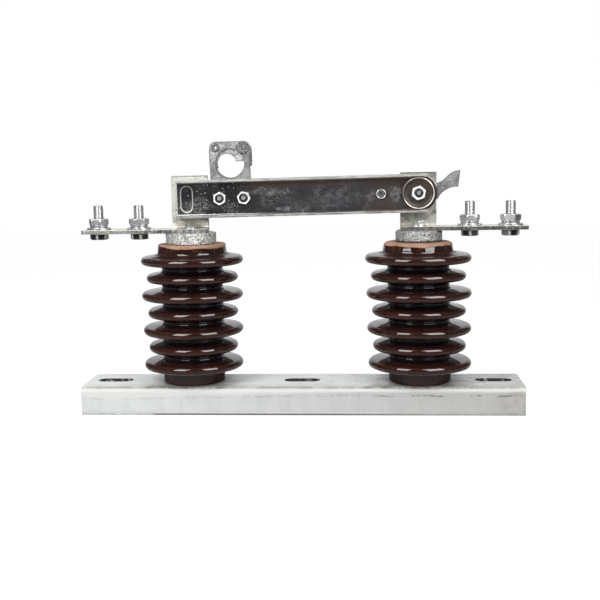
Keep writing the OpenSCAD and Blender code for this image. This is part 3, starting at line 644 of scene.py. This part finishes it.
def makeBrownPorcelain(look):
    material, place = startMaterial("brownPorcelain")
    below = meshValue(place, "belowLine")
    crest = meshValue(place, "crest")
    # the glaze pools in the grooves, with painted shade darkening them further, and thins over the rims, with slow
    # patches
    slow = fit(noise(place, 34, 4, 0.6, 0.5), 0.36, 0.66)
    streaks = fit(noise(stretched(place, 1, 1, 0.22), 120, 4, 0.6), 0.44, 0.72)
    glaze = layer(look.groove, look.front, crest)
    glaze = layer(glaze, look.thin, times(slow, crest), 0.55)
    glaze = layer(glaze, look.groove, streaks, 0.25)
    runs = fit(noise(stretched(place, 1, 1, 0.1), 210, 3), 0.5, 0.7)
    glaze = layer(glaze, look.drip, times(runs, fade(below, 0.5, 7)), 0.5)
    # the bare clay above the glaze line, a little wavy
    grain = noise(place, 900, 4, 0.6)
    wave = times(minus(noise(place, 150, 3), 0.5), 1.6)
    bare = fade(plus(below, wave), -0.3, 0.12)
    clay = layer(look.clay, look.clayPale, fit(noise(place, 60, 4), 0.35, 0.65))
    clay = layer(clay, look.clayDark, fit(grain, 0.54, 0.72, 0, 0.5))
    clay = layer(clay, look.clayDark, fit(plus(below, wave), -1.3, -0.2, 0, 0.55))
    # painted shade darkens the clay in its corners
    clay = layer(clay, look.dirt, occlusionShade(place, Reach=0.0026, Amount=1))
    smooth = fit(noise(place, 80, 3), 0.3, 0.7, look.rough, look.rough + 0.035)
    # hollows, and the sides of the foot, are duller
    hollow = meshValue(place, "hollow")
    smooth = plus(smooth, times(hollow, 0.45))
    others = {"Specular IOR Level": minus(0.5, times(hollow, 0.42)), "IOR": 1.53}
    lumps = noise(place, 75, 2.5, 0.5)
    height = mixValue(bare, lumps, plus(grain, lumps))
    tone, rough = layer(glaze, clay, bare), mixValue(bare, smooth, 0.8)
    return finish(material, tone, 0, rough, height, 0.22, 0.0004, None, others)


def low(name):
    return np.array(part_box(name)[0])


def high(name):
    return np.array(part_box(name)[1])


pivotPlace = (low("pivot_cup_front") + high("pivot_cup_front")) / 2
bladeMiddle = (low("blade_front")[1] + high("blade_rear")[1]) / 2
pivotPlace[1] = bladeMiddle
bladeSlope = 0.8  # degrees, rising towards the tip
tipPad = Spec(reach=0.2378, straight=0.0071, radius=0.0065)  # the pad at the tip, from the pivot
postMiddles = [(low(name)[0] + high(name)[0]) / 2 for name in ("contact_post", "hinge_post")]
bracketLow, bracketHigh = low("contact_bracket"), high("contact_bracket")
edgeDepth = high("blade_rear")[1] - bladeMiddle - 0.0006
finishOf = {
    "galvanised_channel": makeGalvanisedChannel(baseLook, high("base_channel")[2], postMiddles),
    "rough_galvanised": makeRoughGalvanised(castLook),
    "plated_bracket": makePlatedBracket(
        plateLook, bracketLow[1] + 0.0006, bracketLow[2] + 0.004, low("blade_front")[2], bracketHigh[2]),
    "bright_blade": makeBrightBlade(bladeLook, bladeStains, pivotPlace, bladeSlope, edgeDepth, tipPad),
    "matte_galvanised": makeMatteGalvanised(
        matteLook, low("latch_hook")[1] - 0.0002, high("latch_ring")[2], low("stop_horn")[2]),
    "dark_rivet": makeDarkRivet(rivetLook),
    "cup_washer": makeCupWasher(cupLook),
    "plated_fastener": makePlatedFastener(fastenerLook),
    "brown_porcelain": makeBrownPorcelain(glazeLook),
}
for subpart in frame["record"]["subparts"]:
    shown = nodes[subpart["node"]]
    shown.data.materials.clear()
    shown.data.materials.append(finishOf[subpart["material_slot"]])
print("materials on", len(nodes), "nodes")


# radii and heights in millimetres, heights counted from the base's top
postShape = Spec(
    sheds=7, footHeight=19.0, pitch=18.0, step=5.3, taper=0.22, rim=4.2, core=31.5, groove=3.2, foot=31.8,
    footRound=2.5, lean=75.0, flare=0.8, bore=15.3, boreDepth=22.3, insertBore=13.3, insertDepth=24.3,
    around=208, gridStep=1.3, wobble=0.12, inward=1.45, lift=0.1
)
contactPost = dict(
    node="contact_post", axisX=-112.4, topRim=52.6, neck=34.7, edge=0.8, lineFront=3.3, lineSide=2.4,
    lineTilt=0.8, leanFoot=-0.6, leanTop=0.5, seed=3
)
hingePost = dict(
    node="hinge_post", axisX=120.8, topRim=53.9, neck=35.0, edge=4.0, lineFront=3.7, lineSide=3.0, lineTilt=0.0,
    leanFoot=1.0, leanTop=-0.9, seed=8
)


def makePost(s, post):
    # a lathe: the profile's radius and height turned about the post's axis, with a slow wobble
    # of the radius over the angle, as hand-finished porcelain has
    lower, upper = low(post["node"]), high(post["node"])
    base, height = lower[2] / mm, (upper[2] - lower[2]) / mm
    groove, neck, seed = s.groove, post["neck"], post["seed"]
    flank = s.rim + groove + 1.5
    topZ = s.footHeight + s.pitch * (s.sheds - 1)
    steep, flat = 180 - s.lean, 180 + s.lean
    pieces = [
        [[s.insertBore, s.insertDepth], [s.insertBore, 0.0]],
        arcPoints(s.foot - s.footRound, s.footRound, s.footRound, -90, 0, 8),
        arcPoints(s.foot + groove, s.footHeight - flank, groove, 180, steep, 10),
    ]
    for k in range(s.sheds):
        fromTop = s.sheds - 1 - k
        rimRadius = post["topRim"] - s.taper * fromTop - (s.step if fromTop % 2 else 0)
        rimZ = s.footHeight + s.pitch * k
        pieces.append(arcPoints(rimRadius - s.rim, rimZ, s.rim, -s.lean, s.lean, 18))
        if fromTop:
            pieces.append(arcPoints(s.core + groove, rimZ + s.pitch / 2, groove, flat, steep, 12))
    pieces.append(arcPoints(neck + s.flare + groove, topZ + flank, groove, flat, 183, 10))
    pieces.append(arcPoints(neck - post["edge"], height - post["edge"], post["edge"], 0, 90, 8))
    pieces.append([[s.bore, height], [s.bore, height - s.boreDepth]])
    corner = np.concatenate(pieces)
    # longer straight stretches get points between, so that the marks on the glaze have a fine grid
    gap = np.linalg.norm(np.diff(corner, axis=0), axis=1)
    count = np.maximum(1, np.ceil(gap / s.gridStep)).astype(int)
    start = np.repeat(np.arange(len(gap)), count)
    share = (np.arange(count.sum()) - np.repeat(np.cumsum(count) - count, count)) / np.repeat(count, count)
    profile = corner[start] + (corner[start + 1] - corner[start]) * share[:, None]
    profile = np.vstack([profile, corner[-1:]])
    angle = np.arange(s.around) * 2 * np.pi / s.around
    radius, z = profile[:, :1], profile[:, 1:]
    outer = part((radius - 20) / 10)
    waves = np.sin(3 * angle + z * 0.09 + seed) + 0.6 * np.sin(7 * angle - z * 0.21 + 2 * seed)
    waves = waves + 0.4 * np.sin(13 * angle + z * 0.4)
    # the last term keeps the widest wave inside the plain CAD shape
    r = radius + s.wobble * outer * (waves - s.inward)
    x, y = r * np.sin(angle), -r * np.cos(angle)
    lift = s.lift * outer * np.sin(2 * angle + z * 0.05 + seed) * part(z / 20) * part((height - z) / 6)
    # the post leans a little: its axis moves sideways in proportion to the height
    axisX = post["axisX"] + post["leanFoot"] + (post["leanTop"] - post["leanFoot"]) * z / height
    points = np.stack([x + axisX, y, z + lift + base], axis=-1).reshape(-1, 3)
    rows, columns = len(profile), s.around
    poles = [[post["axisX"], 0, profile[-1, 1] + base], [post["axisX"], 0, s.insertDepth + base]]
    faces = gridFaces(rows, columns) + capFaces(rows, columns)
    points = np.vstack([points, poles]) * mm
    piece = meshPiece(post["node"] + "_glazed", points, faces, "base", "brown_porcelain", 60)
    # distance below the glaze line: it dips at the front and rises at the sides, and runs in slow waves
    line = post["lineSide"] + (post["lineFront"] - post["lineSide"]) * np.abs(np.cos(angle)) ** 3
    line = line + 0.45 * np.sin(5 * angle + seed) + 0.25 * np.sin(11 * angle) + post["lineTilt"] * np.sin(angle)
    unglazed = -3.0
    depth = (height - z) - line
    depth = np.where((radius < neck - post["edge"] - 0.6) & (z > height - 1), unglazed, depth)
    depth = np.where(z < height / 2, 5.0, depth)
    depth = np.where((z < 0.4) & (radius < s.foot - s.footRound + 0.4), unglazed, depth)
    inFoot = z < s.footHeight - flank
    crest = part((radius - s.core - 1.5) / 9.0) ** 0.8
    crest = np.where(inFoot, 0.9, np.where(z > topZ + 6, 0.85, crest))
    # hollow: duller where the neck starts, and on the top shed in front of it, where the lamps would show twice
    hollow = part(1.6 - np.abs(z - (topZ + flank - 4.9)) / 2.2) * part((neck + 5 - radius) / 2)
    ledge = part((49.5 - radius) / 3) * part(z - (topZ + 2.6)) * (z < topZ + 6.5) * part((np.cos(angle) - 0.5) / 0.2)
    side = part((np.abs(np.sin(angle)) - 0.5) / 0.35)
    hollow = np.where(inFoot, 0.95 * side, np.maximum(hollow, ledge))
    for label, values in (("belowLine", depth), ("crest", crest), ("hollow", hollow)):
        poleValue = unglazed if label == "belowLine" else 0.0
        giveValues(piece, label, np.append(np.broadcast_to(values, (rows, columns)), [poleValue] * 2))
    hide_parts(post["node"])
    return piece


for post in (contactPost, hingePost):
    made = makePost(postShape, post)
    print("post", made.name, len(made.data.polygons), "faces")


# bolts and nuts in millimetres; turn is the angle of a hexagon's corner, in degrees
# painted shade: terminal heads are black, and thread grooves darker
boltKinds = dict(
    terminal=Spec(
        body="base", diameter=10.0, pitch=1.5, depth=0.2, flats=17.0, head=6.2, tip=0.9, tipRadius=4.2,
        headTone=-1.0, groove=-0.12, endTone=0.3
    ),
    blade=Spec(
        body="blade", diameter=8.0, pitch=1.25, depth=0.4, flats=13.0, head=5.0, tip=1.3, tipRadius=1.9,
        headTone=0.0, groove=-0.2, endTone=-0.35
    ),
)
nutKinds = dict(
    terminal=Spec(body="base", diameter=10.0, flats=18.0, height=6.5, bevel=0.42, faceTone=0.35),
    blade=Spec(body="blade", diameter=8.0, flats=11.9, height=5.26, bevel=0.12, faceTone=0.95),
    pivot=Spec(body="blade", diameter=8.0, flats=13.0, height=5.26, bevel=0.35, faceTone=0.9),
)
# painted light and shade on the six facets, starting after the first corner; below zero is darker, a painted shade,
# and above zero a painted highlight
bolts = [
    Spec(name="terminal_bolt_1", kind="terminal", turn=30),
    Spec(name="terminal_bolt_2", kind="terminal", turn=-9, facets=(0, 0, 0, 0, 0, 0.1)),
    Spec(name="terminal_bolt_3", kind="terminal", turn=28, facets=(0, 0, 0, 0, 0.1, 0)),
    Spec(name="terminal_bolt_4", kind="terminal", turn=16, facets=(0, 0, 0.2, 0.6, 0, 0.2)),
    Spec(name="pivot_bolt", kind="blade", turn=0),
    Spec(name="latch_pivot_bolt", kind="blade", turn=0),
    Spec(name="latch_rest_bolt", kind="blade", turn=30),
]
nuts = [
    Spec(name="terminal_nut_1", kind="terminal", turn=-3, facets=(0, -0.2, 0, -0.8, -0.15, -0.2)),
    Spec(name="terminal_nut_2", kind="terminal", turn=14, facets=(-0.2, 0, 0, -0.3, 0.1, 0.2)),
    Spec(name="terminal_nut_3", kind="terminal", turn=9, facets=(0, 0, -0.2, -0.2, 0.05, 0)),
    Spec(name="terminal_nut_4", kind="terminal", turn=-14, facets=(0, -0.3, 0, 0.25, 0.25, -0.7)),
    Spec(name="pivot_nut", kind="pivot", turn=20),
    Spec(name="latch_pivot_nut", kind="blade", turn=-11),
    Spec(name="latch_rest_nut", kind="blade", turn=30),
]
rowsPerPitch = 10
columnCount = 72  # a multiple of six, so that each corner falls on a column
facetColumns = columnCount // 6
columnIndex = np.arange(columnCount)
spin = columnIndex * 2 * np.pi / columnCount


def hexRows(flats, heights, bevels):
    # polar radius of a hexagon with a corner at angle zero, cut by a cone near its ends:
    # half the flats over the cosine of the angle from the nearest flat's middle
    sixth = np.pi / 3
    hexagon = flats / 2 / np.cos(spin % sixth - sixth / 2)
    return np.minimum(hexagon[None, :], np.asarray(bevels)[:, None]), np.asarray(heights, float)


def facetShadingTones(fastener):
    # one tone for each column: a facet's own painted shading, and zero at the corners between
    facets = getattr(fastener, "facets", (0,) * 6)
    return np.where(columnIndex % facetColumns == 0, 0.0, np.asarray(facets, float)[columnIndex // facetColumns])


def turnedPiece(name, suffix, rows, heights, tones, body, turn=0, closed=False, slotName="plated_fastener", angle=30):
    # rings of radii stacked along an axis that runs up on the base, and to the front on the blade
    lower, upper = low(name) / mm, high(name) / mm
    middle = (lower + upper) / 2
    theta = spin + math.radians(turn)
    u, v = rows * np.cos(theta), rows * np.sin(theta)
    w = heights[:, None] + 0 * spin
    if body == "blade":
        grid = np.stack([middle[0] + u, upper[1] - w, middle[2] + v], axis=-1)
        ends = [[middle[0], upper[1] - heights[k], middle[2]] for k in (-1, 0)]
    else:
        grid = np.stack([middle[0] + u, middle[1] + v, lower[2] + w], axis=-1)
        ends = [[middle[0], middle[1], lower[2] + heights[k]] for k in (-1, 0)]
    count, columns = rows.shape
    points, faces = grid.reshape(-1, 3), gridFaces(count, columns, closed)
    tones = np.asarray(tones, float)
    values = np.repeat(tones, columns) if tones.ndim == 1 else tones.ravel()
    if not closed:
        points = np.vstack([points, ends])
        faces += capFaces(count, columns)
        values = np.append(values, [values[-1], values[0]])
    piece = meshPiece(name + suffix, points * mm, faces, body, slotName, angle)
    giveValues(piece, "tone", values)
    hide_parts(name)
    return piece


def makeBolt(bolt):
    # a hexagon head, then a shank whose radius falls and rises once each pitch and is shifted
    # by the angle, which makes a helix with flat crests; its end narrows to a flat tip
    name, shape = bolt.name, boltKinds[bolt.kind]
    half, head, major = shape.flats / 2, shape.head, shape.diameter / 2
    rises, bevels = [0, 0.3, 0.7, 1.2], [half - 0.4, half + 0.2, half + 0.8, half * 2]
    heights = rises + [head - rise for rise in rises[::-1]] + [head]
    headRows, headHeights = hexRows(shape.flats, heights, bevels + bevels[::-1] + [major + 0.05])
    axis = 1 if shape.body == "blade" else 2
    length = (high(name)[axis] - low(name)[axis]) / mm - head
    levels = np.linspace(0, length, int(length / shape.pitch * rowsPerPitch))[:, None]
    phase = (levels / shape.pitch - spin / (2 * np.pi)) % 1
    tooth = part(np.abs(phase - 0.5) * 11 - 0.4)
    taper = part((levels - (length - shape.tip)) / shape.tip)
    shank = np.minimum(major - shape.depth * (1 - tooth), major - (major - shape.tipRadius) * taper)
    rows = np.vstack([headRows, shank, shank[-1:] * 0.6])
    heights = np.concatenate([headHeights, head + levels[:, 0], [head + length]])
    # painted shade blackens a terminal head, with painted highlights at its corners
    near = np.minimum(columnIndex % facetColumns, -columnIndex % facetColumns)
    corners = np.array([1.7, 0.75, 0.25, 0, 0, 0, 0])[near] * (shape.headTone < 0)
    headTones = shape.headTone + corners + facetShadingTones(bolt) + np.zeros((len(headHeights), 1))
    # painted shade darkens the shank in its grooves and paints it black where it narrows to a small tip
    narrow = (taper > 0) & (shape.tipRadius < 3)
    shankTones = np.where(narrow, -1.25, shape.groove * (1 - tooth) - 0.25)
    shankTones[-1] = shape.endTone
    tones = np.vstack([headTones, shankTones, shankTones[-1:]])
    piece = turnedPiece(name, "_threaded", rows, heights, tones, shape.body, bolt.turn)
    threaded = np.zeros(rows.shape)
    threaded[len(headHeights):-1] = 1.0
    giveValues(piece, "thread", np.append(threaded, [0.0, 0.0]))


def makeNut(nut):
    # a ring of rows: bore, back face, flats, front face and back into the bore
    name, shape = nut.name, nutKinds[nut.kind]
    half, tall, bore, slant = shape.flats / 2, shape.height, shape.diameter / 2 + 0.1, shape.bevel
    rises, bevels = [0, 0.4 * slant, slant, 2.6 * slant], [half - 0.25, half + 0.25, half + 0.8, half * 2]
    heights = [0.5, 0] + rises + [tall - rise for rise in rises[::-1]] + [tall, tall - 0.05, tall - 0.7]
    bevels = [bore, bore + 0.4] + bevels + bevels[::-1] + [bore + 0.75, bore + 0.6, bore]
    rows, levels = hexRows(shape.flats, heights, bevels)
    tones = facetShadingTones(nut) + np.zeros((len(heights), 1))
    tones[[7, 8, 9, 10]] = shape.faceTone
    # painted shade: the bore is black
    tones[[0, 11, 12]] = -1.0
    turnedPiece(name, "_bevelled", rows, levels, tones, shape.body, nut.turn, True)


for bolt in bolts:
    makeBolt(bolt)
for nut in nuts:
    makeNut(nut)
print("bolts and nuts:", len(bolts) + len(nuts))


cupShape = Spec(radius=16.0, depth=6.0, sheet=1.2, bore=4.1, fillet=3.0)


def makeCup(shape, name, forward):
    # a dish turned from its section: floor, fillet, wall, rolled lip, then back down outside
    outer, depth, sheet, fillet = shape.radius, shape.depth, shape.sheet, shape.fillet
    inner = outer - sheet
    section = np.vstack([
        [[shape.bore, 0], [shape.bore, sheet]],
        arcPoints(inner - fillet, sheet + fillet, fillet, -90, 0, 8),
        arcPoints(outer - sheet / 2, depth - sheet / 2, sheet / 2, 180, 0, 10),
        arcPoints(outer - fillet - sheet, fillet + sheet, fillet + sheet, 0, -90, 8),
    ])
    inside = (section[:, 1] < depth - sheet) & (section[:, 0] <= inner + 0.01) & (np.arange(len(section)) < 12)
    rows = section[:, :1] + 0 * spin
    # the dish is marked dark, and painted shade darkens the lip on its left side
    leftLipShade = -0.85 * part((np.cos(spin - math.radians(165)) - 0.7) / 0.14)
    tones = np.where(inside[:, None], -1.0, leftLipShade[None, :])
    heights = section[:, 1] if forward else depth - section[:, 1]
    return turnedPiece(name, "_dished", rows, heights, tones, "blade", 0, True, "cup_washer", 40)


makeCup(cupShape, "pivot_cup_front", True).data.flip_normals()
makeCup(cupShape, "pivot_cup_rear", False)
print("pivot cups turned")


rivetShape = Spec(ring=4.85, roll=0.45, rise=2.2, centre=2.5, body=4.0)


def makeRivet(shape, name):
    # a tubular rivet turned from its section: at each end a rolled ring, a recess and a low middle
    length = (high(name)[1] - low(name)[1]) / mm
    ring, roll, rise, centre = shape.ring, shape.roll, shape.rise, shape.centre
    end = np.vstack([
        [[centre * 0.5, 0.9], [centre - 0.5, 0.9], [centre - 0.2, 0.7], [centre + 0.2, rise - 0.3]],
        [[ring - 2 * roll, rise - 0.5]],
        arcPoints(ring - roll, roll, roll, 180, 360, 10),
        [[ring, rise], [shape.body, rise]],
    ])
    section = np.vstack([end, np.stack([end[::-1, 0], length - end[::-1, 1]], axis=-1)])
    # painted shade darkens each end's recess and middle; a faint painted highlight lifts the rolled ring
    tone = np.array([-0.88, -0.88, -0.7, -1.0, -0.95] + [-0.35, -0.15] + [0.08] * 9 + [0.0, 0.0])
    tones = np.concatenate([tone, tone[::-1]])
    turnedPiece(name, "_rolled", section[:, :1] + 0 * spin, section[:, 1], tones, "blade", angle=40)


makeRivet(rivetShape, "blade_rivet")
print("blade rivet turned")


floorShape = Spec(
    left=-2.2, right=2.2, front=-0.82, back=3.0, coverLong=0.2245, coverWide=0.033, white=0.86, glow=1.14,
    share=0.8, mirrored=0.32
)


def makeFloor(shape):
    mesh = bpy.data.meshes.new("floor")
    left, right, front, back = shape.left, shape.right, shape.front, shape.back
    corners = [(left, front, 0), (right, front, 0), (right, back, 0), (left, back, 0)]
    mesh.from_pydata(corners, [], [(0, 1, 2, 3)])
    floor = newObject("floor", mesh)
    material, place = startMaterial("paleFloor")
    x, y = axes(place)[:2]
    tree = material.node_tree
    plain = addNode(tree, "ShaderNodeBsdfDiffuse", {"Color": (shape.white,) * 3})
    path = addNode(tree, "ShaderNodeLightPath").outputs
    strength = mixValue(path["Is Camera Ray"], shape.mirrored, shape.glow)
    glow = addNode(tree, "ShaderNodeEmission", {"Strength": strength})
    seen = most(path["Is Camera Ray"], most(path["Is Glossy Ray"], path["Is Transmission Ray"]))
    # no glow in the strip that the channel covers, so that its inside stays dark
    covered = times(isUnder(away(x), shape.coverLong), isUnder(away(y), shape.coverWide))
    share = times(seen, times(minus(1, covered), shape.share))
    mixed = addNode(tree, "ShaderNodeMixShader", {0: share, 1: plain.outputs[0], 2: glow.outputs[0]})
    addNode(tree, "ShaderNodeOutputMaterial", {0: mixed.outputs[0]})
    mesh.materials.append(material)


roomLight = Spec(
    fill=0.42, front=(0.03, 0.03, 0.034), side=(0.1, 0.1, 0.104), back=(0.76, 0.76, 0.76),
    ceiling=(0.17, 0.17, 0.18), backStart=0.7, backFull=0.94
)


def makeWorld(look):
    # white for the camera; reflections see a dark room in front and white paper behind
    scene.world = world = bpy.data.worlds.new("studio")
    tree = emptyTree(world)
    right, back, up = axes(addNode(tree, "ShaderNodeTexCoord").outputs["Generated"])
    # the direction without its height, never zero
    level = most(root(plus(times(right, right), times(back, back))), 0.001)
    behind = fit(over(back, level), look.backStart, look.backFull)
    above = fit(up, 0.55, 0.9)
    beside = fit(over(away(right), level), 0.5, 0.95)
    room = layer(look.front, look.side, beside)
    room = layer(room, look.back, behind)
    room = layer(room, look.ceiling, above)
    path = addNode(tree, "ShaderNodeLightPath").outputs
    colour = layer((look.fill,) * 3, room, path["Is Glossy Ray"])
    colour = layer(colour, (1, 1, 1), most(path["Is Camera Ray"], path["Is Transmission Ray"]))
    background = addNode(tree, "ShaderNodeBackground", {"Color": colour})
    addNode(tree, "ShaderNodeOutputWorld", {0: background.outputs[0]})


# place and aim in metres, size in metres, watts; gloss lamps show only in reflections
lamps = [
    Spec(
        name="leftGloss", place=(-0.375, -0.562, 0.6), aim=(-0.02, 0, 0.1), size=(0.41, 0.62), watts=7.3,
        gloss=True
    ),
    Spec(
        name="rightGloss", place=(0.485, -0.495, 0.6), aim=(0.04, 0, 0.1), size=(0.51, 0.62), watts=9.0,
        gloss=True
    ),
    Spec(name="leftSoft", place=(-0.6, -0.8, 0.8), aim=(-0.06, 0, 0.12), size=(0.7, 0.8), watts=9.5, gloss=False),
    Spec(name="rightSoft", place=(0.6, -0.8, 0.8), aim=(0.0, 0, 0.12), size=(0.7, 0.8), watts=4.5, gloss=False),
]


def makeLamp(lamp):
    data = bpy.data.lights.new(lamp.name, "AREA")
    data.shape, data.size, data.size_y = "RECTANGLE", lamp.size[0], lamp.size[1]
    data.energy = lamp.watts
    made = newObject(lamp.name, data)
    place, aim = Vector(lamp.place), Vector(lamp.aim)
    made.location = place
    made.rotation_mode = "QUATERNION"
    made.rotation_quaternion = (aim - place).to_track_quat("-Z", "Y")
    made.visible_camera = False
    made.visible_diffuse = not lamp.gloss
    made.visible_glossy = lamp.gloss


viewpoint = Spec(place=(0.0719, -1.0016, 0.2501), yaw=4.16, pitch=7.77, roll=0.93, lens=58.956)


def makeCamera(view):
    yaw, pitch, roll = map(math.radians, (view.yaw, view.pitch, view.roll))
    right = Vector((math.cos(yaw), math.sin(yaw), 0))
    ahead = Vector((-math.sin(yaw) * math.cos(pitch), math.cos(yaw) * math.cos(pitch), -math.sin(pitch)))
    up = right.cross(ahead)
    across = right * math.cos(roll) - up * math.sin(roll)
    upward = right * math.sin(roll) + up * math.cos(roll)
    data = bpy.data.cameras.new("camera")
    data.sensor_width, data.lens = 36.0, view.lens
    scene.camera = camera = newObject("camera", data)
    camera.matrix_world = Matrix.Translation(view.place) @ Matrix((across, upward, -ahead)).transposed().to_4x4()


makeFloor(floorShape)
makeWorld(roomLight)
for lamp in lamps:
    makeLamp(lamp)
makeCamera(viewpoint)
print("floor, light and camera ready")
